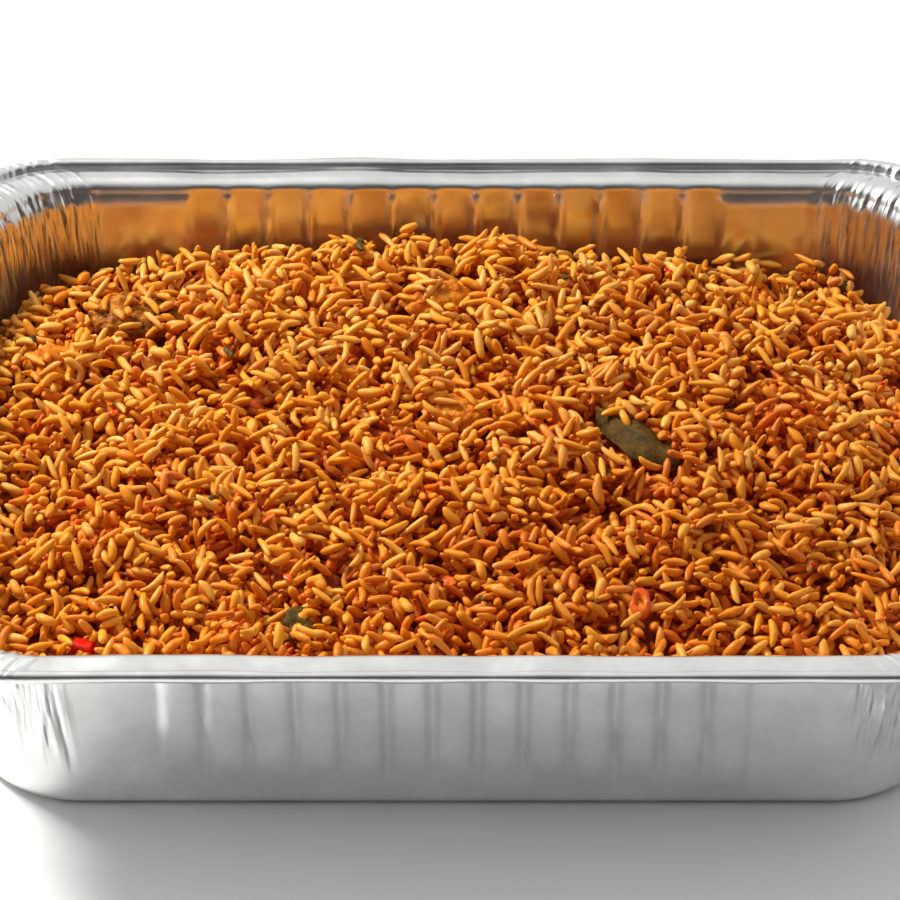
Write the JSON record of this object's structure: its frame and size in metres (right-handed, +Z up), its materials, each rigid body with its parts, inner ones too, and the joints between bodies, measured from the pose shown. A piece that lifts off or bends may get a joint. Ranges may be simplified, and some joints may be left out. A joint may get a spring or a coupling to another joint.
{
  "type": "tray of jollof rice",
  "caption": "Half-size aluminium foil tray with fluted walls and a rolled rim, filled with a mounded heap of jollof rice with a bay leaf and small pieces of meat.",
  "frame": {"origin": "middle of the underside of the tray", "axes": "+X along the tray's long side, to the right; +Y towards the back; +Z up"},
  "size_m": [0.324, 0.264, 0.065],
  "materials": {
    "foil": "bright rolled foil with fine wrinkles at the corners",
    "rice": "cooked grains, moist and oily, stained orange by tomato and pepper",
    "leaf": "cooked bay leaf, olive brown, satin",
    "meat": "stewed meat coated in sauce, moist",
    "pepper": "diced cooked pepper and tomato skin, wet",
    "herb": "chopped dried herb flakes"
  },
  "bodies": {
    "root": {"tray": "foil", "rice": "rice", "bay_leaf": "leaf", "meat_back_left": "meat", "meat_left": "meat", "meat_back": "meat", "meat_middle_left": "meat", "meat_middle_right": "meat"}
  },
  "joints": []
}
